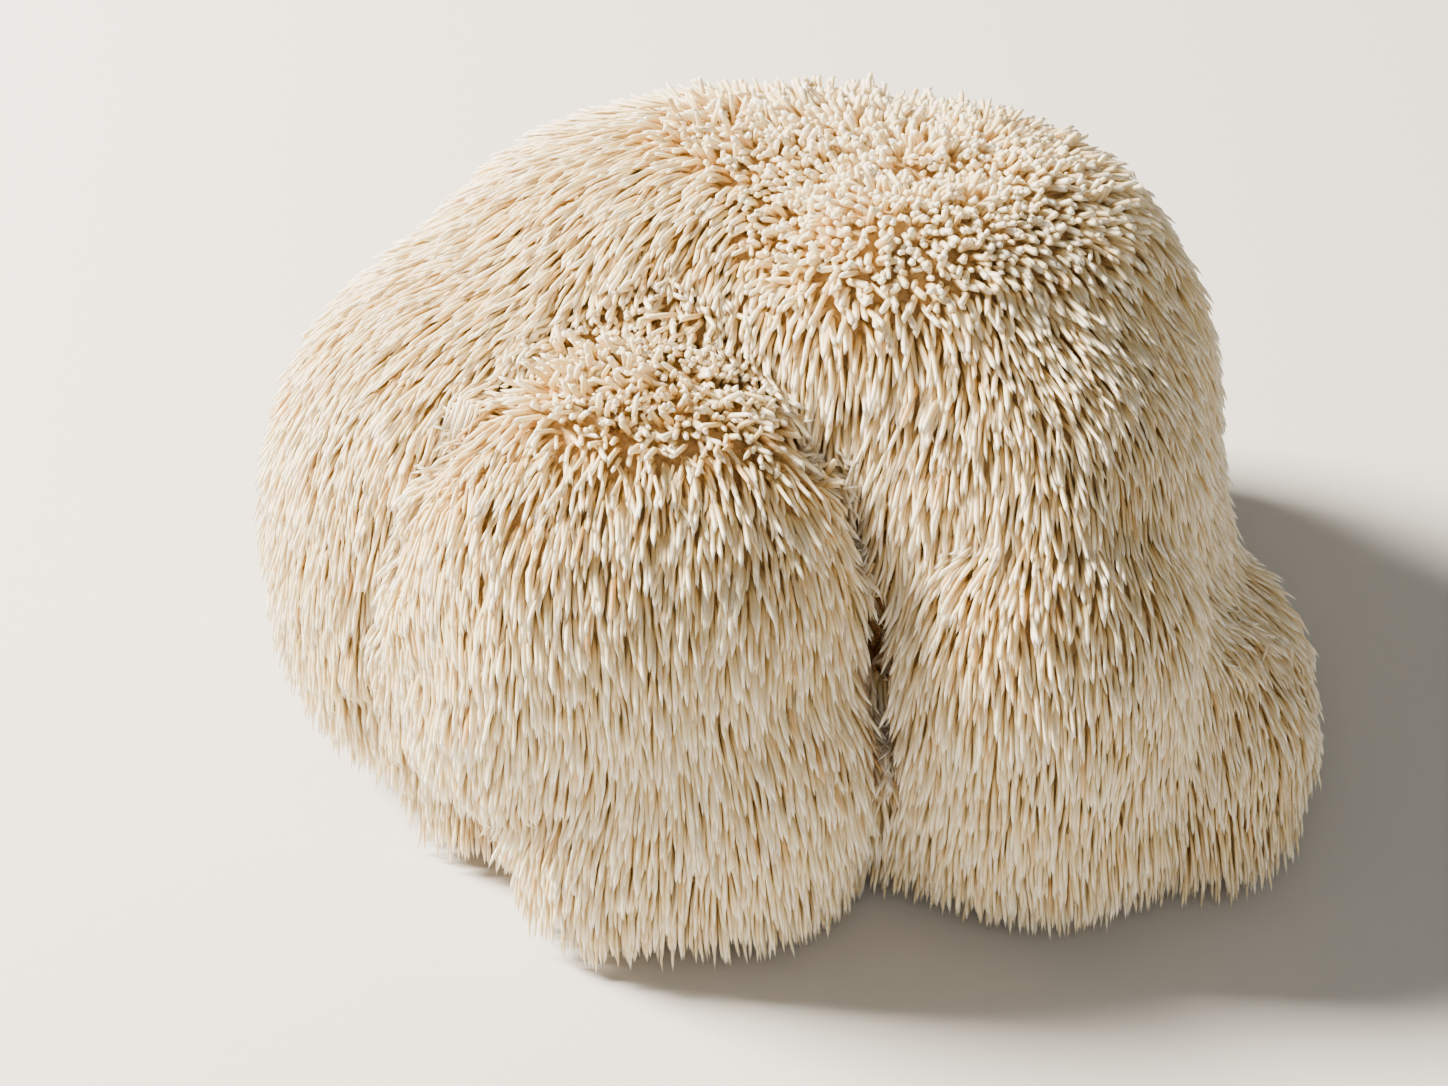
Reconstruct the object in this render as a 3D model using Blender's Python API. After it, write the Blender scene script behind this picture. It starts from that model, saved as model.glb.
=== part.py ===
"""A fresh lion's mane mushroom, cut from the wood it grew on and set down on its cut face.

It is one grown body: lobed flesh with soft spines that hang from all of it.
Metres, +Z up. The origin is the middle of the flat cut face underneath. The front, with the deep
cleft between two lobes, faces -Y. Sizes below are in millimetres.
"""

import math
import random

import bmesh
import bpy
import numpy as np
from mathutils import Matrix, Vector

MM = 0.001

# The lobes that swell together into the flesh: centre, half sizes, squareness in plan,
# and squareness below the middle (2 is round, 4 drops like a curtain to the foot).
# Those of the main body run softly into each other.
BODY_LOBES = {
    "back dome": ((-4, 18, 44), (53, 42, 40), 2.2, 4.0),
    "left side": ((-30, 3, 33), (44, 43, 40), 2.2, 2.8),
    "right back": ((23, 13, 42), (37, 39, 42), 2.2, 4.0),
    "crown": ((16, -1, 58), (27, 24, 29), 2.2, 2.0),
    "brow": ((30, -12, 45), (26, 29, 31), 2.2, 2.0),
    "right flank": ((44, -6, 28), (18, 26, 24), 2.4, 4.0),
    "back left": ((-29, 39, 30), (29, 22, 31), 2.2, 4.0),
    "back right": ((24, 42, 27), (27, 19, 29), 2.2, 4.0),
}
# Those in front stand against it and each other with clear creases.
FRONT_LOBES = {
    "front left": ((-22, -24, 41), (32, 32, 32), 2.4, 2.8),
    "front left foot": ((-12, -32, 22), (22, 26, 27), 3.0, 4.0),
    "web in the cleft": ((12, -31, 16), (14, 18, 18), 2.2, 4.0),
    "front right": ((34, -27, 34), (21, 28, 26), 2.6, 4.0),
    "right foot": ((53, -21, 18), (19, 25, 16), 2.6, 4.0),
    "low tuft": ((-26, -45, 14), (11, 12, 14), 2.2, 4.0),
}
ROUND = 2.2  # squareness of every lobe above its middle
FOOT = 7.0  # the flesh ends this high, and spines hang on down from its rim
FLESH_VOXEL = 2.0
BODY_SMOOTHING, FRONT_SMOOTHING = 40, 8
FLESH_TRIANGLES = 1200

# The short stub under the flesh, cut flat
STUB_HALF = (30.0, 26.0)
STUB_FLARE = 1.15
STUB_HEIGHT = 14.0
STUB_SIDES = 10

# The spines, at their real size but hundreds where the real one has thousands
SPINE_SEED = 11
SPINE_SPACING = 6.15
SPINE_ROOT_RADIUS = 1.3
SPINE_MID_RADIUS = 1.0
SPINE_SUNK = 2.5
SPINE_SIDES = 3
CROWN_REACH, WALL_REACH = 2.0, 11.0  # how far a spine runs along the surface
CROWN_RISE, WALL_RISE = 4.3, 3.4  # how far its tip stands off the surface
MID_REACH, MID_RISE = 0.38, 0.85  # its middle, as shares of those
CROWN_SLOPE, WALL_SLOPE = 0.92, 0.45  # height of the surface's normal where each begins
SWAY = 0.22
TIP_CLEARANCE = 1.2
UNDERSIDE_SLOPE = -0.55

CREAM = (0.86, 0.74, 0.56, 1.0)
FLESH_ROUGHNESS = 0.55
CRISP_ANGLE = 40  # faces that meet at more than this keep a crisp edge, as round the spines


def blend(low, high, share):
    return low + (high - low) * share


def clear_scene():
    for obj in list(bpy.data.objects):
        bpy.data.objects.remove(obj)


def add_lobe(bm, centre, half, plan, below):
    """A ball bent into a lobe: squarer in plan, and falling to the foot below its middle."""
    drop = centre[2] - FOOT if below > ROUND else half[2]
    for vert in bmesh.ops.create_icosphere(bm, subdivisions=5, radius=1)["verts"]:
        x, y, z = vert.co
        flat = (abs(x) ** plan + abs(y) ** plan) ** (1 / plan)
        power = below if z < 0 else ROUND
        reach = (flat**power + abs(z) ** power) ** (-1 / power)
        tall = drop if z < 0 else half[2]
        point = Vector((x * half[0], y * half[1], z * tall)) * reach
        vert.co = (Vector(centre) + point) * MM


def add_stub(bm):
    """The stub that it was cut from, wider where it joins the flesh."""
    made = bmesh.ops.create_cone(
        bm, cap_ends=True, segments=STUB_SIDES, radius1=1, radius2=STUB_FLARE, depth=1
    )["verts"]
    size = Matrix.Diagonal((STUB_HALF[0], STUB_HALF[1], STUB_HEIGHT, 1))
    lift = Matrix.Translation((0, 0, STUB_HEIGHT / 2))
    bmesh.ops.transform(bm, matrix=Matrix.Scale(MM, 4) @ lift @ size, verts=made)


def object_from(bm, name, collection=None):
    mesh = bpy.data.meshes.new(name)
    bm.to_mesh(mesh)
    bm.free()
    obj = bpy.data.objects.new(name, mesh)
    (collection or bpy.context.scene.collection).objects.link(obj)
    return obj


def apply_modifiers(obj):
    """Gives obj the mesh that its modifiers make of it."""
    graph = bpy.context.evaluated_depsgraph_get()
    made = bpy.data.meshes.new_from_object(obj.evaluated_get(graph))
    obj.modifiers.clear()
    obj.data = made


def add_lobes(flesh, lobes, smoothing):
    """Swells the flesh with more lobes, under one new skin that is eased where lobes meet."""
    bm = bmesh.new()
    for centre, half, plan, below in lobes.values():
        add_lobe(bm, centre, half, plan, below)
    bm.from_mesh(flesh.data)
    bm.to_mesh(flesh.data)
    bm.free()
    skin = flesh.modifiers.new("skin", "REMESH")
    skin.mode = "VOXEL"
    skin.voxel_size = FLESH_VOXEL * MM
    ease = flesh.modifiers.new("ease", "SMOOTH")
    ease.iterations = smoothing
    apply_modifiers(flesh)


def make_flesh():
    """The lobes run into one skin, thinned to few triangles."""
    flesh = object_from(bmesh.new(), "lions_mane")
    add_lobes(flesh, BODY_LOBES, BODY_SMOOTHING)
    add_lobes(flesh, FRONT_LOBES, FRONT_SMOOTHING)
    thin = flesh.modifiers.new("thin", "DECIMATE")
    flesh.data.calc_loop_triangles()
    thin.ratio = FLESH_TRIANGLES / len(flesh.data.loop_triangles)
    apply_modifiers(flesh)
    return flesh


def spine_roots(mesh, rng):
    """Points spread evenly over the skin, in millimetres, each with the way the skin faces there."""
    mesh.calc_loop_triangles()
    corners = np.array([[mesh.vertices[i].co for i in t.vertices] for t in mesh.loop_triangles])
    corners /= MM
    facing = np.array([t.normal for t in mesh.loop_triangles])
    sizes = np.array([t.area for t in mesh.loop_triangles])
    tries = int(20 * sizes.sum() / (SPINE_SPACING * MM) ** 2)
    kept = np.empty((0, 3))
    roots = []
    for index in rng.choice(len(sizes), tries, p=sizes / sizes.sum()):
        a, b = rng.random(2)
        if a + b > 1:
            a, b = 1 - a, 1 - b
        p, q, r = corners[index]
        point = p + a * (q - p) + b * (r - p)
        if point[2] < FOOT or facing[index][2] < UNDERSIDE_SLOPE:
            continue
        if len(kept) and np.min(np.linalg.norm(kept - point, axis=1)) < SPINE_SPACING:
            continue
        kept = np.vstack([kept, point])
        roots.append((Vector(point), Vector(facing[index])))
    return roots


def spine_path(root, facing, draw):
    """Where a spine starts, turns and ends: it grows out of the skin and then hangs down along it."""
    down = Vector((0, 0, -1))
    fall = down - facing * down.dot(facing)
    outward = Vector((root.x - BODY_LOBES["crown"][0][0], root.y - BODY_LOBES["crown"][0][1], 0))
    fall = (fall + outward.normalized() * 0.05).normalized()
    side = fall.cross(facing)
    fall = (fall + side * draw.uniform(-SWAY, SWAY)).normalized()
    steep = (CROWN_SLOPE - facing.z) / (CROWN_SLOPE - WALL_SLOPE)
    steep = min(max(steep, 0.0), 1.0)
    size = draw.uniform(0.85, 1.15)
    reach = blend(CROWN_REACH, WALL_REACH, steep) * size
    rise = blend(CROWN_RISE, WALL_RISE, steep) * size
    fallen = root.z + rise * facing.z + reach * fall.z
    if fallen < TIP_CLEARANCE:
        reach *= max(0.2, (root.z + rise * facing.z - TIP_CLEARANCE) / (root.z + rise * facing.z - fallen))
    start = root - facing * SPINE_SUNK
    middle = root + facing * rise * MID_RISE + fall * reach * MID_REACH
    tip = root + facing * rise + fall * reach
    return start, middle, tip


def add_spine(bm, start, middle, tip, facing):
    """A three-sided spine along its path, with an edge outwards, drawn to a point at its tip."""
    ahead = middle - start
    axis = ahead.normalized()
    outer = facing - axis * facing.dot(axis)
    if outer.length < 0.1:
        outer = axis.orthogonal()
    outer.normalize()
    turn = Matrix((outer.cross(axis), outer, axis)).transposed().to_4x4()
    bmesh.ops.create_cone(
        bm,
        cap_ends=True,
        segments=SPINE_SIDES,
        radius1=SPINE_ROOT_RADIUS,
        radius2=SPINE_MID_RADIUS,
        depth=ahead.length,
        matrix=Matrix.Translation((start + middle) / 2) @ turn,
    )
    lid = max(bm.faces, key=lambda face: face.calc_center_median().dot(ahead))
    bmesh.ops.poke(bm, faces=[lid])["verts"][0].co = tip
    bmesh.ops.scale(bm, vec=(MM, MM, MM), verts=bm.verts)


def join_all(flesh):
    """The stub and every spine as small solids of their own, all joined to the flesh in one go."""
    rng = np.random.default_rng(SPINE_SEED)
    draw = random.Random(SPINE_SEED)
    joined = bpy.data.collections.new("joined")
    bpy.context.scene.collection.children.link(joined)
    bm = bmesh.new()
    add_stub(bm)
    object_from(bm, "stub", joined)
    for root, facing in spine_roots(flesh.data, rng):
        bm = bmesh.new()
        add_spine(bm, *spine_path(root, facing, draw), facing)
        object_from(bm, "spine", joined)
    join = flesh.modifiers.new("join", "BOOLEAN")
    join.operation = "UNION"
    join.operand_type = "COLLECTION"
    join.collection = joined
    join.solver = "EXACT"
    apply_modifiers(flesh)
    for obj in list(joined.objects):
        bpy.data.objects.remove(obj)
    bpy.data.collections.remove(joined)


def keep_the_body(mesh):
    """Drops loose scraps, and fills hollows that the joining sealed, by keeping the largest skin."""
    bm = bmesh.new()
    bm.from_mesh(mesh)
    bmesh.ops.triangulate(bm, faces=bm.faces)
    unseen = set(bm.verts)
    islands = []
    while unseen:
        island, edge = set(), [unseen.pop()]
        while edge:
            vert = edge.pop()
            island.add(vert)
            near = {e.other_vert(vert) for e in vert.link_edges} & unseen
            unseen -= near
            edge.extend(near)
        islands.append(island)
    islands.sort(key=len)
    for island in islands[:-1]:
        bmesh.ops.delete(bm, geom=list(island), context="VERTS")
    bm.to_mesh(mesh)
    bm.free()


def shade(mesh):
    """Smooth over the flesh, and crisp along the spines' edges."""
    mesh.shade_smooth()
    mesh.set_sharp_from_angle(angle=math.radians(CRISP_ANGLE))


def paint(obj):
    cream = bpy.data.materials.new("fresh_cream_flesh")
    cream.use_nodes = True
    shader = cream.node_tree.nodes["Principled BSDF"]
    shader.inputs["Base Color"].default_value = CREAM
    shader.inputs["Roughness"].default_value = FLESH_ROUGHNESS
    shader.inputs["Metallic"].default_value = 0.0
    obj.data.materials.clear()
    obj.data.materials.append(cream)


def main():
    clear_scene()
    mushroom = make_flesh()
    join_all(mushroom)
    keep_the_body(mushroom.data)
    shade(mushroom.data)
    paint(mushroom)


main()
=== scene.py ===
"""The looks of a fresh lion's mane mushroom: thousands of soft spines hanging on lobed flesh.

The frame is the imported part's, in metres: the mushroom rests on its flat cut face, whose middle
is the origin, and its front, with the deep cleft, faces -Y. Sizes named below are in millimetres.
"""

import math

import bmesh
import bpy
import numpy as np
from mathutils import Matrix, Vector, noise
from mathutils.bvhtree import BVHTree


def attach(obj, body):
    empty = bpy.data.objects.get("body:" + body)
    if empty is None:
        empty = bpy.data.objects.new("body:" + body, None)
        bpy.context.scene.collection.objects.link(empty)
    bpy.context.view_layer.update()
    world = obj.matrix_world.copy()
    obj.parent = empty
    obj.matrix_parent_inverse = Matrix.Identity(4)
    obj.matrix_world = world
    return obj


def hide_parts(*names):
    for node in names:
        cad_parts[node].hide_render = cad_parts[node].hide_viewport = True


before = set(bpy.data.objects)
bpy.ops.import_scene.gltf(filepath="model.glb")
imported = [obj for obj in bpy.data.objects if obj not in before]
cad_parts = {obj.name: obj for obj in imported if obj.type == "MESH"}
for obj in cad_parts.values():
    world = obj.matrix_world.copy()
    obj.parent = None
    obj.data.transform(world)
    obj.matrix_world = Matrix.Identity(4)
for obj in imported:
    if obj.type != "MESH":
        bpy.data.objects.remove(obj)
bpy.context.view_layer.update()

MM = 0.001
DOWN = Vector((0, 0, -1))
FRONT = Vector((0, -1, 0))
AXES = (Vector((1, 0, 0)), Vector((0, 1, 0)), Vector((0, 0, 1)))

# The lobes of the flesh, close to the solid part's, with one more low on the left: centre, half
# sizes, squareness in plan, and squareness below the middle. The body's lobes run softly
# together, and those in front stand against it with clear creases.
BODY_LOBES = {
    "back dome": ((-4, 18, 44), (53, 42, 40), 2.2, 4.0),
    "left side": ((-30, 3, 33), (44, 43, 40), 2.2, 2.8),
    "right back": ((23, 13, 42), (37, 39, 42), 2.2, 4.0),
    "crown": ((16, -1, 58), (27, 24, 29), 2.2, 2.0),
    "brow": ((30, -12, 45), (26, 29, 31), 2.2, 2.0),
    "right flank": ((44, -6, 28), (18, 26, 24), 2.4, 4.0),
    "back left": ((-29, 39, 30), (29, 22, 31), 2.2, 4.0),
    "back right": ((24, 42, 27), (27, 19, 29), 2.2, 4.0),
}
FRONT_LOBES = {
    "front left": ((-22, -24, 42), (32, 32, 31), 2.4, 2.2),
    "front left foot": ((-12, -32, 22), (22, 26, 27), 3.0, 4.0),
    "web in the cleft": ((12, -28, 15), (14, 17, 17), 2.2, 4.0),
    "front right": ((34, -27, 34), (21, 28, 26), 2.6, 4.0),
    "right foot": ((53, -21, 18), (19, 25, 16), 2.6, 4.0),
    "low tuft": ((-26, -45, 14), (11, 12, 14), 2.2, 4.0),
    "low left": ((-37, -19, 17), (19, 20, 14), 2.2, 4.0),
}
ROUND = 2.2  # squareness of every lobe above its middle
FOOT = 7.0  # the flesh ends this high, and spines hang on down from its rim
LOBE_SUBDIVISIONS = 5
FLESH_VOXEL = 2.0
BODY_SMOOTHING, FRONT_SMOOTHING = 40, 8

# Smaller swellings (+) and dips (-) of the flesh: middle, half sizes of the patch, and height
RELIEF = {
    "dip behind the front crest": ((18.8, 9.7, 84.5), (13, 6, 9), -4.0),
    "front crest": ((11.5, -3.5, 85.9), (12, 7, 9), 1.0),
    "right crest": ((32.6, 10.3, 82.5), (10, 8, 8), 1.0),
    "groove on the right": ((51.5, 3.9, 68.7), (5, 8, 12), -2.0),
    "crevice over the front right lobe": ((22, -37, 56.5), (8, 4, 4), -4.0),
    "top of the front right lobe": ((34, -37, 61), (9, 5, 6), 2.0),
    "cleft, start": ((1, -26, 64), (5, 6, 6), -5.0),
    "cleft, top": ((7.4, -31, 54.3), (5, 8, 9), -7.0),
    "cleft, upper": ((10.7, -36, 44), (5, 8, 9), -7.0),
    "cleft, middle": ((12, -40, 32), (5, 9, 11), -7.0),
    "cleft, foot": ((11, -47, 14), (4.5, 9, 11), -5.0),
    "valley on the left, top": ((-37, -19, 69), (7, 6, 7), -3.0),
    "valley on the left, upper": ((-46, -26, 63), (6, 7, 8), -5.0),
    "valley on the left, middle": ((-52.5, -29.5, 53), (6, 7, 8), -5.0),
    "valley on the left, lower": ((-56, -30, 41), (6, 7, 9), -5.0),
    "valley on the left, foot": ((-58, -30, 28), (6, 7, 8), -3.0),
    "edge of the front left lobe, upper": ((-42, -35, 64), (6, 6, 7), 2.0),
    "edge of the front left lobe, lower": ((-50, -39, 46), (6, 6, 10), 2.0),
    "hollow under the front left lobe": ((-46, -42, 18), (12, 12, 10), -6.0),
    "foot of the low tuft": ((-34, -53, 6), (10, 9, 8), -3.0),
    "fill above the right foot": ((57.5, -31, 33), (8, 16, 10), 4.5),
    "crease in the right foot": ((69.6, -28.6, 25.6), (4, 5, 8), -2.5),
}

# The cut stub underneath
STUB_HALF = (30.0, 26.0)
STUB_FLARE = 1.15
STUB_HEIGHT = 14.0
STUB_SIDES = 72
STUB_EDGE = 0.6
STUB_SHARE = 0.965  # its mean half size, as a share, round which its outline wavers
STUB_WAVES = ((3, 0.02, 1.0), (7, 0.012, 0.0))  # waves in a turn, height as a share, start
STUB_BARE = 1.3, 16.0  # no spines over the stub: squared share of its half size, and height

# The spines: short nubs on the crown and the crests, and hanging ones on the walls, of which
# those on the sides and back are fine. "Facing" below is a part of the way that the skin faces,
# up (z) or back (y), and a pair of numbers is what a share goes from and to.
SEED = 7
SPACING = 0.86
TRIES = 8  # tries at a root, for each square of the spacing
SPINE_SIDES = 5
RING_PLACES = (0.0, 0.42, 0.84, 1.0)  # the root, two rings and the tip, along a spine
SPINE_RINGS = len(RING_PLACES) - 1
NUB_TAPER = np.array([0.9, 1.05, 1.0, 0.0])  # thickness at those places, as a share
HANGING_TAPER = np.array([0.9, 1.0, 0.82, 0.0])
SUNK = 1.2
NUB_LENGTH, HANGING_LENGTH = 3.4, 9.5
NUB_RADIUS, HANGING_RADIUS, FINE_RADIUS = 0.45, 0.34, 0.26
NUB_RISE, HANGING_RISE, FINE_RISE = 1.9, 3.4, 2.0  # how far the tip stands off the skin
LENGTH_SPREAD, RISE_SPREAD, RADIUS_SPREAD = (0.75, 1.15), (0.65, 1.3), (0.8, 1.2)
# Kinds of coat, and the bands over which one turns into the next
NUBS_TO_HANGING = (0.6, 1.2)  # share of the crown's reach
TOP_TO_WALL = (0.97, 0.64)  # facing up
PARTED_TO_COMBED = (0.05, 0.45)  # how surely a spine lies one way
ORDERLY_TO_STRAY = (1.15, 0.7)  # share of a crest's reach
SLOPE_TO_LEVEL = (0.62, 0.94)  # facing up
BACK_TO_FRONT = (0.35, -0.4)  # facing back
STRAY_HANGING = 0.5  # on the crests, hanging spines turn to nubs by this share
# How they lie: on top they spread out from the crown's middle, and in front they lean forward
SPREAD_OUT, SPREAD_FACING = 0.45, (0.6, 0.97)
FRONT_LEAN, LEAN_FACING, LEAN_FADE = (0.15, 0.9), (-0.1, 0.7), (0.5, -0.1)
# One in a few stands proud of the rest and is thicker, by its chance
PROUD_CHANCES, PROUD_RISE, PROUD_RADIUS = (0.5, 0.8), (0.85, 1.25), (0.95, 1.08)
BOLD_RISE, BOLD_RADIUS, MATTED_LOSS = 0.35, 0.12, 0.4
# The last of these is painted shade: how strongly spines in the hollow under the front left lobe
# are darkened.
STRAY_LENGTH, HOLLOW_LENGTH, HOLLOW_PAINTED_SHADE = 0.7, 0.5, 0.8
# What shortens them: the floor, a wall in the way, and flesh that faces them across a crease
SHORTEST = 2.5  # but never below this
FLOOR_FACING, FLOOR_SHARE = 0.6, 1.03
WALL_FACING, WALL_SHARE = 0.1, 0.9
CREASE_REACH = 14.0
# Across a crease, spines take painted shade, from none where the gap is open to full where it is
# narrow, and stand lower and shorter.
OPEN_TO_PAINTED_SHADE, CREASE_RISE, CREASE_LENGTH = (1.0, 0.3), 0.35, (0.6, 0.95)
# How they grow: first out and down, then by their weight, their stiffness and at random
START_OUT, START_DOWN = (1.0, 0.5), (0.7, 1.0)
NUB_WEIGHT, HANGING_WEIGHT, MESSY_LIGHTER = 0.8, 1.4, 0.6
NUB_UPRIGHT, HANGING_UPRIGHT, MESSY_UPRIGHT = 0.6, 0.05, 0.3
WALL_STRAY, TOP_STRAY, MESSY_STRAY, STRAY_FACING = 0.1, 0.22, 0.8, (0.2, 0.8)
PULLED_IN = 0.7  # share by which a hanging spine is brought back to its rise
OVERHANG_FACING = -0.1  # where the skin faces down more than this, they hang free
FLOOR_STEP = 0.2  # each ring before the tip stays this much higher above the floor
# The thick hanging spines: from left to right, over what height, and fading over what widths
COARSE_FROM, COARSE_TO = -58, 44
COARSE_FADE_LEFT, COARSE_FADE_RIGHT = 10, 12
COARSE_HEIGHTS = (6.0, 26.0)
# Spots on the skin, each with its middle, its reach, and the share of that at full strength: where
# hanging spines lie matted, where they are short and take painted shade in the hollow under the
# front left lobe, and where they are thicker and stand further out
MATTED = (Vector((-48, -38, 55)), 14.0, 0.5)
HOLLOW = (Vector((-44, -43, 19)), 11.0, 0.6)
BOLD = (
    (Vector((32, -38, 61)), 12.0, 0.4),
    (Vector((14, -17, 78)), 18.0, 0.4),
    (Vector((-45, -47, 29)), 13.0, 0.4),
)
# Crests where the spines stand up and stray instead of lying down: middle and reach
CRESTS = (
    (Vector((11, -3, 0)), 17.0),
    (Vector((32, 14, 0)), 15.0),
    (Vector((14, 27, 0)), 17.0),
    (Vector((-5, 24, 0)), 12.0),
    (Vector((-20, -18, 0)), 17.0),
    (Vector((-2, -20, 0)), 13.0),
)
CROWN_MIDDLE = Vector((17, 12, 0))
CROWN_REACH = 27.0  # nubs give way to hanging spines from about here outwards
TIP_CLEARANCE = 0.7
# How wide and how strongly they clump, sway together, and on the crown grow in patches
CLUMP_WIDTH, CLUMPING = 5.0, 0.05
SWAY_WIDTH, SWAY = 26.0, 0.25
PATCH_WIDTH, PATCHINESS = 7.0, 0.5
# Their pieces: six by the way round, the crown's and the one underneath
PIECE_BY_TURN = ("right", "back_right", "back_left", "left", "front_left", "front_right")
CROWN_PIECE = 1.1, 60.0  # the crown's own piece: share of its reach, and from what height up
UNDERSIDE_FACING = -0.35  # spines that face down more than this are the piece underneath
SPARSE_FACING, SPARSE_SHARE = -0.6, 0.4  # skin that faces right down lacks this share of them

# Patterns on the flesh: patches of colour, grain and its height, and pores of the cut
FLESH_PATCH, FLESH_GRAIN, FLESH_BUMP = 9.0, 1.2, 0.8
PORE_WIDTH, PORE_DEPTH = 2.5, 0.5

# The camera, at the photograph's angle
ELEVATION = 38
DISTANCE = 556
LENS = 100
TARGET = Vector((-9.4, -16.4, 41.9))

# The studio, in metres. Each lamp: place, size, power and colour
LAMPS = {
    "window": ((-0.85, 0.2, 0.75), 0.32, 92, "#FFF4E4"),
    "front_fill": ((0.1, -1.1, 0.8), 1.0, 4.5, "#FFFAF2"),
}
LAMP_AIM = Vector((0, 0, 0.04))
SKY_COLOUR, SKY_STRENGTH = "#EFEEEA", 0.22
FLOOR_HALF = 3


def smoothstep(low, high, value):
    """0 at the low end, 1 at the high end, eased at both; the low end may be the larger number."""
    share = min(max((value - low) / (high - low), 0.0), 1.0)
    return share * share * (3 - 2 * share)


def blend(low, high, share):
    return low + (high - low) * share


def linear(colour):
    """An sRGB hex colour as the linear RGBA that sockets take."""
    parts = [int(colour[i : i + 2], 16) / 255 for i in (1, 3, 5)]
    return [c / 12.92 if c <= 0.04045 else ((c + 0.055) / 1.055) ** 2.4 for c in parts] + [1.0]


# Flesh


def object_from(bm, name):
    mesh = bpy.data.meshes.new(name)
    bm.to_mesh(mesh)
    bm.free()
    obj = bpy.data.objects.new(name, mesh)
    bpy.context.scene.collection.objects.link(obj)
    return obj


def apply_modifiers(obj):
    graph = bpy.context.evaluated_depsgraph_get()
    made = bpy.data.meshes.new_from_object(obj.evaluated_get(graph))
    obj.modifiers.clear()
    obj.data = made


def add_lobe(bm, centre, half, plan, below):
    """A ball bent into a lobe: squarer in plan, and falling to the foot below its middle."""
    drop = centre[2] - FOOT if below > ROUND else half[2]
    for vert in bmesh.ops.create_icosphere(bm, subdivisions=LOBE_SUBDIVISIONS, radius=1)["verts"]:
        x, y, z = vert.co
        flat = (abs(x) ** plan + abs(y) ** plan) ** (1 / plan)
        power = below if z < 0 else ROUND
        reach = (flat**power + abs(z) ** power) ** (-1 / power)
        tall = drop if z < 0 else half[2]
        point = Vector((x * half[0], y * half[1], z * tall)) * reach
        vert.co = (Vector(centre) + point) * MM


def add_lobes(flesh, lobes, smoothing):
    """Swells the flesh with more lobes, under one new skin that is eased where lobes meet."""
    bm = bmesh.new()
    for centre, half, plan, below in lobes.values():
        add_lobe(bm, centre, half, plan, below)
    bm.from_mesh(flesh.data)
    bm.to_mesh(flesh.data)
    bm.free()
    skin = flesh.modifiers.new("skin", "REMESH")
    skin.mode = "VOXEL"
    skin.voxel_size = FLESH_VOXEL * MM
    ease = flesh.modifiers.new("ease", "SMOOTH")
    ease.iterations = smoothing
    apply_modifiers(flesh)


def press_relief(flesh):
    """Pushes the skin out and in along its own facing, as the table of relief says."""
    for vert in flesh.data.vertices:
        push = 0.0
        for middle, half, height in RELIEF.values():
            off = Vector((p / MM - m) / h for p, m, h in zip(vert.co, middle, half)).length
            push += height * smoothstep(1.0, 0.0, off)
        if push:
            vert.co += vert.normal * push * MM


def make_flesh():
    flesh = object_from(bmesh.new(), "flesh")
    add_lobes(flesh, BODY_LOBES, BODY_SMOOTHING)
    add_lobes(flesh, FRONT_LOBES, FRONT_SMOOTHING)
    press_relief(flesh)
    flesh.data.shade_smooth()
    return flesh


def make_stub():
    """The short stub it was cut from, with a flat face to rest on."""
    bm = bmesh.new()
    made = bmesh.ops.create_cone(
        bm, cap_ends=True, segments=STUB_SIDES, radius1=1, radius2=STUB_FLARE, depth=1
    )["verts"]
    for vert in made:
        x, y, z = vert.co
        angle = math.atan2(y, x)
        share = STUB_SHARE
        for waves, height, start in STUB_WAVES:
            share += height * math.sin(waves * angle + start)
        vert.co = (x * STUB_HALF[0] * share, y * STUB_HALF[1] * share, (z + 0.5) * STUB_HEIGHT)
    bmesh.ops.scale(bm, vec=(MM, MM, MM), verts=bm.verts)
    rim = [e for e in bm.edges if all(v.co.z < 1e-6 for v in e.verts)]
    bmesh.ops.bevel(
        bm, geom=rim, offset=STUB_EDGE * MM, segments=2, profile=0.5, affect="EDGES", material=-1
    )
    return object_from(bm, "cut_stub")


# Spines


def spread_roots(mesh, spacing, rng):
    """Points spread evenly over the skin, in millimetres, with the way the skin faces at each."""
    mesh.calc_loop_triangles()
    corners = np.zeros(len(mesh.loop_triangles) * 3, np.int32)
    mesh.loop_triangles.foreach_get("vertices", corners)
    corners = corners.reshape(-1, 3)
    places = np.zeros(len(mesh.vertices) * 3)
    mesh.vertices.foreach_get("co", places)
    places = places.reshape(-1, 3) / MM
    facings = np.zeros(len(mesh.vertices) * 3)
    mesh.vertex_normals.foreach_get("vector", facings)
    facings = facings.reshape(-1, 3)
    sizes = np.zeros(len(mesh.loop_triangles))
    mesh.loop_triangles.foreach_get("area", sizes)
    tries = int(TRIES * sizes.sum() / (spacing * MM) ** 2)
    picked = corners[rng.choice(len(sizes), tries, p=sizes / sizes.sum())]
    a, b = rng.random((2, tries))
    over = a + b > 1
    a[over], b[over] = 1 - a[over], 1 - b[over]
    shares = np.stack([1 - a - b, a, b], axis=1)[:, :, None]
    points = (places[picked] * shares).sum(axis=1)
    faces = (facings[picked] * shares).sum(axis=1)
    taken = {}
    kept = []
    for index, point in enumerate(points):
        cell = tuple((point // spacing).astype(int))
        near = (
            other
            for i in (-1, 0, 1)
            for j in (-1, 0, 1)
            for k in (-1, 0, 1)
            for other in taken.get((cell[0] + i, cell[1] + j, cell[2] + k), ())
        )
        if any(np.dot(point - other, point - other) < spacing**2 for other in near):
            continue
        taken.setdefault(cell, []).append(point)
        kept.append(index)
    return [(Vector(points[i]), Vector(faces[i]).normalized()) for i in kept]


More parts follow.
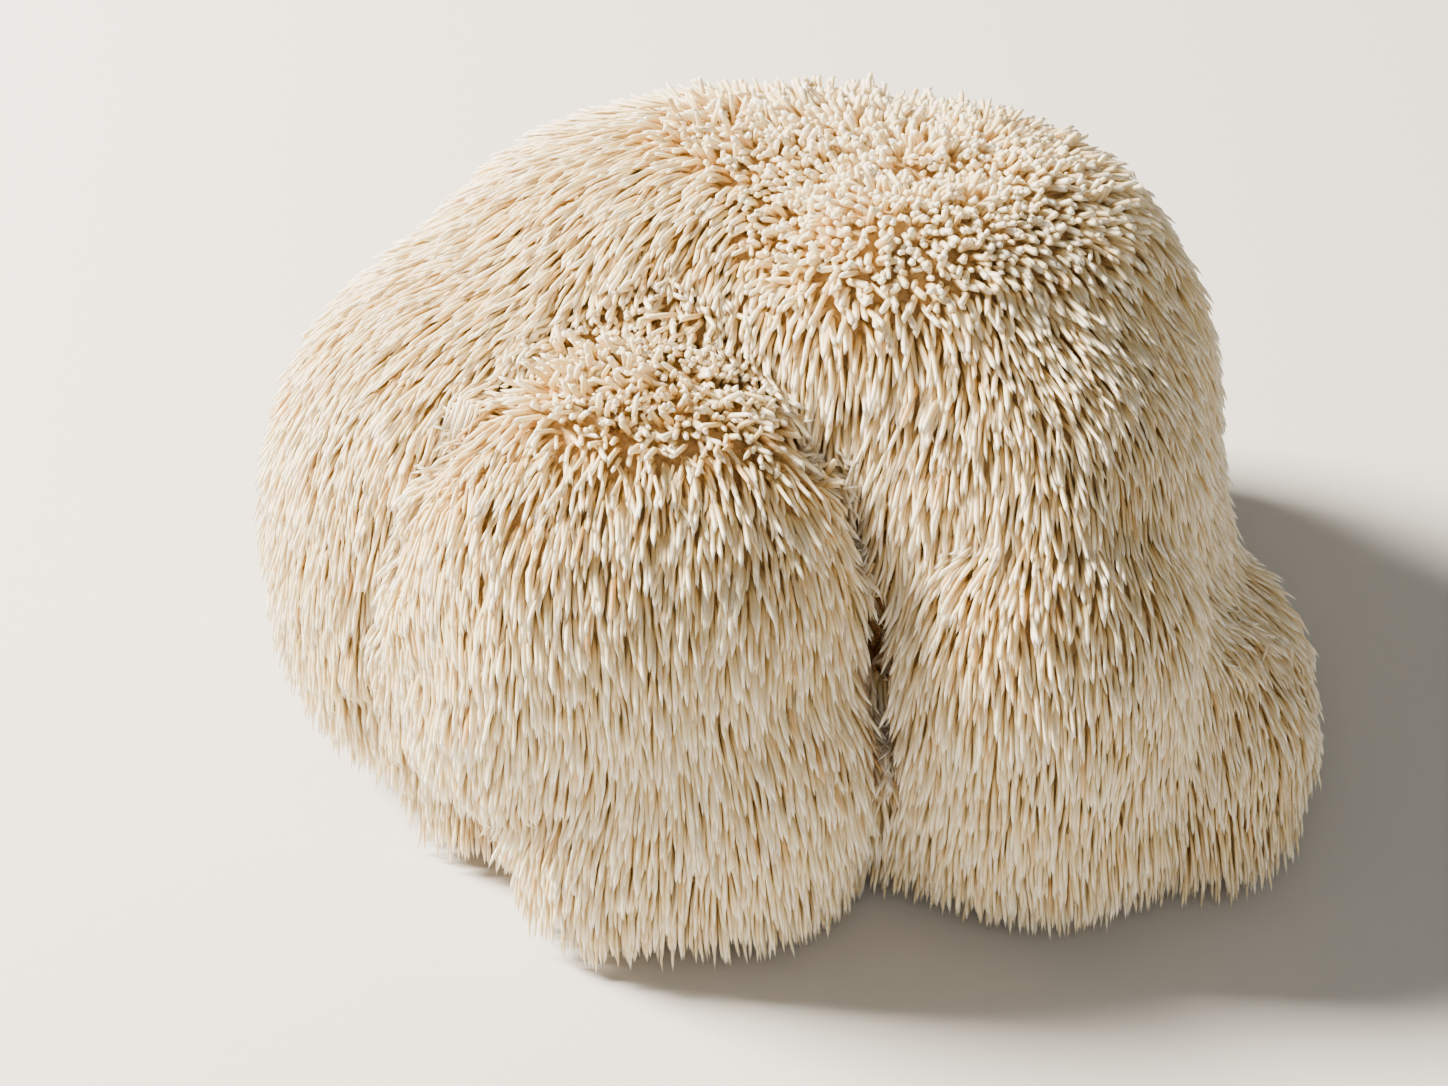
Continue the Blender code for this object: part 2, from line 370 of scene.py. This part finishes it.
def hanging_share(root, facing):
    """0 for the short nubs on the crown, 1 for the long spines that hang from walls."""
    off = math.hypot(root.x - CROWN_MIDDLE.x, root.y - CROWN_MIDDLE.y) / CROWN_REACH
    hang = max(smoothstep(*NUBS_TO_HANGING, off), smoothstep(*TOP_TO_WALL, facing.z))
    hang *= smoothstep(*PARTED_TO_COMBED, lie(root, facing).length)
    return hang * (1 - STRAY_HANGING * messiness(root, facing))


def messiness(root, facing):
    """1 where spines stray in all directions, on top of the crests, and 0 where they are combed."""
    offs = [(root.xy - middle.xy).length / reach for middle, reach in CRESTS]
    near = max(smoothstep(*ORDERLY_TO_STRAY, off) for off in offs)
    return near * smoothstep(*SLOPE_TO_LEVEL, facing.z)


def coarseness(root, facing):
    """1 for the thick spines that stand out in front, 0 for the fine ones on the sides and back."""
    middle = smoothstep(COARSE_FROM, COARSE_FROM + COARSE_FADE_LEFT, root.x)
    middle *= smoothstep(COARSE_TO, COARSE_TO - COARSE_FADE_RIGHT, root.x)
    low = smoothstep(*COARSE_HEIGHTS, root.z)
    return middle * low * smoothstep(*BACK_TO_FRONT, facing.y) * (1 - nearness(root, MATTED))


def nearness(root, spot):
    """1 in the middle of a spot on the skin, falling to 0 at its reach."""
    middle, reach, full = spot
    return smoothstep(1.0, full, (root - middle).length / reach)


def boldness(root):
    return max(nearness(root, spot) for spot in BOLD)


def lie(point, facing):
    """The way a spine would lie along the skin, and short where the coat parts.

    The mushroom grew with its front tipped downwards, so what is now on top leans forward.
    """
    away = Vector((point.x - CROWN_MIDDLE.x, point.y - CROWN_MIDDLE.y, 0)).normalized()
    want = DOWN + away * SPREAD_OUT * smoothstep(*SPREAD_FACING, facing.z)
    lean = blend(*FRONT_LEAN, smoothstep(*LEAN_FACING, facing.z))
    want += FRONT * smoothstep(*LEAN_FADE, facing.y) * lean
    return want - facing * min(0.0, facing.dot(want))


def way_down(point, facing):
    """The way a spine hangs at a point, swaying and clumping a little."""
    want = lie(point, facing).normalized()
    want += noise.noise_vector(point / SWAY_WIDTH) * SWAY
    near = point / CLUMP_WIDTH
    step = 0.1
    here = noise.noise(near)
    slope = [noise.noise(near + axis * step) - here for axis in AXES]
    want += Vector(slope) * (CLUMPING / step)
    want -= facing * min(0.0, facing.dot(want))
    return want.normalized()


def natural_size(root, facing, hang, messy, coarse, proud, rng):
    """A spine's length, and how far its tip stands off the skin, before anything is in its way."""
    patchy = 1 + PATCHINESS * (1 - hang) * noise.noise(root / PATCH_WIDTH)
    length = blend(NUB_LENGTH, HANGING_LENGTH, hang) * rng.uniform(*LENGTH_SPREAD) * patchy
    length *= blend(1, STRAY_LENGTH, messy * hang)
    length *= blend(1, HOLLOW_LENGTH, nearness(root, HOLLOW))
    rise = blend(NUB_RISE, blend(FINE_RISE, HANGING_RISE, coarse), hang)
    rise = rise * rng.uniform(*RISE_SPREAD) * patchy
    shaggy = blend(1, blend(*PROUD_RISE, proud), hang)
    rise *= shaggy * (1 + BOLD_RISE * boldness(root)) * (1 - MATTED_LOSS * nearness(root, MATTED))
    return length, rise


def fit_in(root, facing, length, rise, skin):
    """Shortens a spine for the floor, a wall in its way or a crease, and gives the painted shade
    for a spine deep in a crease or the hollow.
    """
    if facing.z < FLOOR_FACING:
        length = min(length, max(SHORTEST, FLOOR_SHARE * (root.z - TIP_CLEARANCE)))
    _, wall, _, room = skin.ray_cast((root + facing) * MM, way_down(root, facing), length * MM)
    if room is not None and wall.dot(facing) < WALL_FACING:
        length = min(length, max(SHORTEST, WALL_SHARE * room / MM))
    painted_shade = HOLLOW_PAINTED_SHADE * nearness(root, HOLLOW)
    gap = skin.ray_cast((root + facing * 0.5) * MM, facing, CREASE_REACH * MM)[3]
    if gap is not None:
        painted_shade = max(painted_shade, smoothstep(*OPEN_TO_PAINTED_SHADE, gap / (CREASE_REACH * MM)))
        rise = min(rise, CREASE_RISE * gap / MM)
        length *= blend(*CREASE_LENGTH, gap / (CREASE_REACH * MM))
    return length, rise, painted_shade


def spine_path(root, facing, skin, chance, rng):
    """The points along a spine that leaves the skin and then hangs down over those below it."""
    hang = hanging_share(root, facing)
    messy = messiness(root, facing)
    coarse = coarseness(root, facing)
    proud = smoothstep(*PROUD_CHANCES, chance)
    length, rise = natural_size(root, facing, hang, messy, coarse, proud, rng)
    length, rise, painted_shade = fit_in(root, facing, length, rise, skin)
    first, second = (Vector(rng.normal(size=3)) for _ in range(2))
    upright = blend(NUB_UPRIGHT, HANGING_UPRIGHT + MESSY_UPRIGHT * messy, hang)
    stray = blend(WALL_STRAY, TOP_STRAY, smoothstep(*STRAY_FACING, facing.z))
    stray = blend(stray, MESSY_STRAY, messy)
    pull = blend(0.0, PULLED_IN, hang) * (1 - messy)
    point = root
    heading = facing * blend(*START_OUT, hang) + way_down(root, facing) * blend(*START_DOWN, hang)
    heading.normalize()
    normal = facing
    points = [root - facing * SUNK]
    for k, (before, share) in enumerate(zip(RING_PLACES, RING_PLACES[1:]), start=1):
        weight = blend(NUB_WEIGHT, HANGING_WEIGHT - MESSY_LIGHTER * messy, hang)
        want = way_down(point, normal) * weight + normal * upright
        want += (first * math.cos(k) + second * math.sin(k)) * stray
        heading = (heading + want).normalized()
        point = point + heading * length * (share - before)
        place, out, _, _ = skin.find_nearest(point * MM)
        short = rise * share - (point - place / MM).dot(out)
        if short > 0:
            point = point + out * short
        elif out.z > OVERHANG_FACING:
            point = point + out * short * pull
        normal = (normal + out).normalized()
        point.z = max(point.z, TIP_CLEARANCE + FLOOR_STEP * (SPINE_RINGS - k))
        points.append(point)
    hanging_radius = blend(FINE_RADIUS, HANGING_RADIUS, coarse) * blend(*PROUD_RADIUS, proud)
    radius = blend(NUB_RADIUS, hanging_radius, hang**3)
    radius *= (1 + BOLD_RADIUS * boldness(root)) * rng.uniform(*RADIUS_SPREAD)
    return {"path": points, "radius": radius, "hang": hang, "chance": chance, "painted_shade": painted_shade}


def spine_template():
    """One straight spine with few sides, closed at both ends, and its places a unit apart."""
    bm = bmesh.new()
    bmesh.ops.create_cone(
        bm, cap_ends=True, segments=SPINE_SIDES, radius1=1, radius2=1, depth=SPINE_RINGS - 1
    )
    sides = [e for e in bm.edges if abs(e.verts[0].co.z - e.verts[1].co.z) > 0.5]
    bmesh.ops.subdivide_edges(bm, edges=sides, cuts=SPINE_RINGS - 2, use_grid_fill=True)
    lid = max(bm.faces, key=lambda face: face.calc_center_median().z)
    tip = bmesh.ops.poke(bm, faces=[lid])["verts"][0]
    tip.co.z += 1
    bmesh.ops.translate(bm, vec=(0, 0, (SPINE_RINGS - 1) / 2), verts=bm.verts)
    return bm


def unit(vectors):
    return vectors / np.maximum(np.linalg.norm(vectors, axis=-1, keepdims=True), 1e-9)


def make_spines(name, grown):
    """A piece of many spines: copies of the template, each laid along its own path."""
    piece = object_from(spine_template(), name)
    copies = piece.modifiers.new("copies", "ARRAY")
    copies.count = len(grown)
    copies.use_relative_offset = False
    rings = np.zeros(len(piece.data.vertices) * 3)
    piece.data.vertices.foreach_get("co", rings)
    rings = rings.reshape(-1, 3)
    apply_modifiers(piece)
    ring = np.rint(rings[:, 2]).astype(int)
    paths = np.array([g["path"] for g in grown])
    tapers = [NUB_TAPER * (1 - g["hang"]) + HANGING_TAPER * g["hang"] for g in grown]
    radii = np.array([g["radius"] * taper for g, taper in zip(grown, tapers)])
    ahead = unit(np.gradient(paths, axis=1))
    # The rings' own sideways directions, started from any and carried along without a twist
    side = np.zeros_like(ahead)
    side[:, 0] = np.cross(ahead[:, 0], (0.3, 0.9, 0.4))
    for k in range(SPINE_RINGS + 1):
        last = side[:, max(k - 1, 0)]
        side[:, k] = unit(last - ahead[:, k] * (last * ahead[:, k]).sum(axis=-1, keepdims=True))
    other = np.cross(ahead, side)
    across = side[:, ring] * rings[None, :, 0:1] + other[:, ring] * rings[None, :, 1:2]
    places = paths[:, ring] + across * radii[:, ring, None]
    mesh = piece.data
    mesh.vertices.foreach_set("co", (places * MM).ravel())
    along = np.tile(ring / SPINE_RINGS, len(grown))
    marks = {"along": along}
    for label in ("hang", "chance", "painted_shade"):
        marks[label] = np.repeat([g[label] for g in grown], len(ring))
    for label, values in marks.items():
        mark = mesh.attributes.new(label, "FLOAT", "POINT")
        mark.data.foreach_set("value", values.astype(np.float32))
    mesh.shade_smooth()
    mesh.update()
    return piece


def sector(root, facing):
    """The name of the piece that a spine belongs to."""
    if facing.z < UNDERSIDE_FACING:
        return "spines_underneath"
    off = math.hypot(root.x - CROWN_MIDDLE.x, root.y - CROWN_MIDDLE.y)
    if off < CROWN_REACH * CROWN_PIECE[0] and root.z > CROWN_PIECE[1]:
        return "spines_crown"
    each = 360 / len(PIECE_BY_TURN)
    angle = math.degrees(math.atan2(root.y, root.x)) % 360
    return "spines_" + PIECE_BY_TURN[int(((angle + each / 2) % 360) // each)]


def grow_spines(flesh):
    """All the pieces of spines, over the whole skin except where the stub is."""
    rng = np.random.default_rng(SEED)
    noise.seed_set(SEED)  # without it, vector noise changes from run to run
    skin = BVHTree.FromPolygons(
        [v.co for v in flesh.data.vertices], [list(p.vertices) for p in flesh.data.polygons]
    )
    groups = {}
    spacing = SPACING
    for root, facing in spread_roots(flesh.data, spacing, rng):
        over_stub = (root.x / STUB_HALF[0]) ** 2 + (root.y / STUB_HALF[1]) ** 2 < STUB_BARE[0]
        if over_stub and root.z < STUB_BARE[1]:
            continue
        if facing.z < SPARSE_FACING and rng.random() < SPARSE_SHARE:
            continue
        chance = rng.random()
        grown = spine_path(root, facing, skin, chance, rng)
        groups.setdefault(sector(root, facing), []).append(grown)
    return [make_spines(name, group) for name, group in groups.items()]


# Materials


def add_node(tree, kind, settings=(), values=(), links=()):
    """A node with its settings, its sockets' values and what feeds them."""
    made = tree.nodes.new(kind)
    for name, value in dict(settings).items():
        setattr(made, name, value)
    for name, value in dict(values).items():
        made.inputs[name].default_value = value
    for name, source in dict(links).items():
        tree.links.new(source, made.inputs[name])
    return made


def new_material(name):
    material = bpy.data.materials.new(name)
    material.use_nodes = True
    tree = material.node_tree
    return material, tree, tree.nodes["Principled BSDF"]


def ramp(tree, source, stops):
    """Colours that follow each other as the source goes from 0 to 1."""
    made = add_node(tree, "ShaderNodeValToRGB", links={"Fac": source})
    elements = made.color_ramp.elements
    for _ in range(len(stops) - 2):
        elements.new(0.5)
    for element, (place, colour) in zip(elements, stops):
        element.position = place
        element.color = linear(colour)
    return made.outputs["Color"]


def mix(tree, share, first, second, kind="MIX"):
    """Two colours mixed, where each of the three inputs is a value or another node's output."""
    made = add_node(tree, "ShaderNodeMix", {"data_type": "RGBA", "blend_type": kind})
    sockets = (made.inputs[0], made.inputs[6], made.inputs[7])  # those of the colour mix
    for socket, value in zip(sockets, (share, first, second)):
        if isinstance(value, (float, int, list)):
            socket.default_value = value
        else:
            tree.links.new(value, socket)
    return made.outputs[2]


def spine_material():
    """Fresh fungus spines: waxy, moist and a little see-through, so light bleeds along them."""
    material, tree, shader = new_material("fresh_cream_spines")
    along = add_node(tree, "ShaderNodeAttribute", {"attribute_name": "along"}).outputs["Fac"]
    chance = add_node(tree, "ShaderNodeAttribute", {"attribute_name": "chance"}).outputs["Fac"]
    hang = add_node(tree, "ShaderNodeAttribute", {"attribute_name": "hang"}).outputs["Fac"]
    # Along each spine, darker towards the root and pale at the tip: painted shade for the shade
    # down among the spines, so each tip stands out bright. The nubs' own colour turns yellowish at
    # the very tip.
    hanging = ramp(
        tree,
        along,
        [(0.0, "#C6A266"), (0.33, "#E3CA94"), (0.67, "#FBEDD0"), (0.8, "#FFF5DF")],
    )
    nubs = ramp(
        tree,
        along,
        [
            (0.0, "#C6A266"),
            (0.33, "#E8D2A2"),
            (0.67, "#FDF2D9"),
            (0.85, "#FFF6E2"),
            (1.0, "#F0D69C"),
        ],
    )
    colour = mix(tree, hang, nubs, hanging)
    # Each spine's own tint, darker for the spines that lie low among the proud ones as painted
    # shade, and one in a hundred browned
    tint_and_painted_shade = ramp(
        tree,
        chance,
        [
            (0.0, "#F2E3C6"),
            (0.5, "#F9F0DD"),
            (0.75, "#FFFFFF"),
            (0.98, "#FFFFFF"),
            (0.99, "#DDBC88"),
        ],
    )
    colour = mix(tree, 0.8, colour, tint_and_painted_shade, "MULTIPLY")
    # Painted shade: spines deep in a crease or in the hollow under the front left lobe are darkened
    # towards brown.
    painted_shade = add_node(tree, "ShaderNodeAttribute", {"attribute_name": "painted_shade"}).outputs["Fac"]
    colour = mix(tree, painted_shade, colour, linear("#AF8750"), "MULTIPLY")
    tree.links.new(colour, shader.inputs["Base Color"])
    shader.inputs["Roughness"].default_value = 0.36
    shader.inputs["IOR"].default_value = 1.4
    shader.inputs["Subsurface Weight"].default_value = 0.3
    shader.inputs["Subsurface Radius"].default_value = (1.0, 0.86, 0.62)
    shader.inputs["Subsurface Scale"].default_value = 1.0 * MM
    return material


def flesh_material():
    """The skin between the roots: deeper tan, as light that gets there has passed the spines."""
    material, tree, shader = new_material("shaded_tan_flesh")
    place = add_node(tree, "ShaderNodeTexCoord").outputs["Object"]
    patches = add_node(
        tree,
        "ShaderNodeTexNoise",
        values={"Scale": 1 / (FLESH_PATCH * MM), "Detail": 3},
        links={"Vector": place},
    ).outputs["Fac"]
    tree.links.new(
        ramp(tree, patches, [(0.3, "#AF8A54"), (0.7, "#C6A570")]), shader.inputs["Base Color"]
    )
    grain = add_node(
        tree,
        "ShaderNodeTexNoise",
        values={"Scale": 1 / (FLESH_GRAIN * MM), "Detail": 2},
        links={"Vector": place},
    ).outputs["Fac"]
    bumps = add_node(
        tree,
        "ShaderNodeBump",
        values={"Strength": 0.8, "Distance": FLESH_BUMP * MM},
        links={"Height": grain},
    ).outputs["Normal"]
    tree.links.new(bumps, shader.inputs["Normal"])
    shader.inputs["Roughness"].default_value = 0.6
    shader.inputs["IOR"].default_value = 1.4
    return material


def cut_material():
    """A knife cut through fungus flesh: pale, spongy and matt, browning a little with air."""
    material, tree, shader = new_material("cut_spongy_flesh")
    place = add_node(tree, "ShaderNodeTexCoord").outputs["Object"]
    pores = add_node(
        tree,
        "ShaderNodeTexNoise",
        values={"Scale": 1 / (PORE_WIDTH * MM), "Detail": 5},
        links={"Vector": place},
    ).outputs["Fac"]
    tree.links.new(
        ramp(tree, pores, [(0.3, "#D8BE94"), (0.55, "#EFE3CB"), (0.8, "#F4EAD6")]),
        shader.inputs["Base Color"],
    )
    dents = add_node(
        tree,
        "ShaderNodeBump",
        values={"Strength": 0.5, "Distance": PORE_DEPTH * MM},
        links={"Height": pores},
    ).outputs["Normal"]
    tree.links.new(dents, shader.inputs["Normal"])
    shader.inputs["Roughness"].default_value = 0.8
    shader.inputs["IOR"].default_value = 1.4
    return material


# The set


def make_floor():
    bm = bmesh.new()
    bmesh.ops.create_grid(bm, x_segments=1, y_segments=1, size=FLOOR_HALF)
    floor = object_from(bm, "floor")
    material, _, shader = new_material("plain_pale_floor")
    shader.inputs["Base Color"].default_value = linear("#D9D7D2")
    shader.inputs["Roughness"].default_value = 0.85
    floor.data.materials.append(material)


def add_lamp(name, place, size, power, colour):
    lamp = bpy.data.lights.new(name, "AREA")
    lamp.size = size
    lamp.energy = power
    lamp.color = linear(colour)[:3]
    obj = bpy.data.objects.new(name, lamp)
    obj.location = place
    obj.rotation_mode = "QUATERNION"
    obj.rotation_quaternion = (LAMP_AIM - Vector(place)).to_track_quat("-Z", "Y")
    bpy.context.scene.collection.objects.link(obj)


def light_studio():
    for name, lamp in LAMPS.items():
        add_lamp(name, *lamp)
    world = bpy.data.worlds.new("studio")
    world.use_nodes = True
    sky = world.node_tree.nodes["Background"]
    sky.inputs["Color"].default_value = linear(SKY_COLOUR)
    sky.inputs["Strength"].default_value = SKY_STRENGTH
    bpy.context.scene.world = world


def place_camera():
    camera = bpy.data.cameras.new("camera")
    camera.lens = LENS
    camera.sensor_width = 36
    camera.clip_start = 0.01
    obj = bpy.data.objects.new("camera", camera)
    tilt = math.radians(ELEVATION)
    back = Vector((0, -math.cos(tilt), math.sin(tilt)))
    obj.location = (TARGET + back * DISTANCE) * MM
    obj.rotation_mode = "QUATERNION"
    obj.rotation_quaternion = (-back).to_track_quat("-Z", "Y")
    bpy.context.scene.collection.objects.link(obj)
    bpy.context.scene.camera = obj


def dress(piece, material):
    """Gives a piece its material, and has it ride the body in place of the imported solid."""
    piece.data.materials.clear()
    piece.data.materials.append(material)
    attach(piece, "root")
    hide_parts("lions_mane")


flesh = make_flesh()
dress(flesh, flesh_material())
dress(make_stub(), cut_material())
cream = spine_material()
for spines in grow_spines(flesh):
    dress(spines, cream)
make_floor()
light_studio()
place_camera()
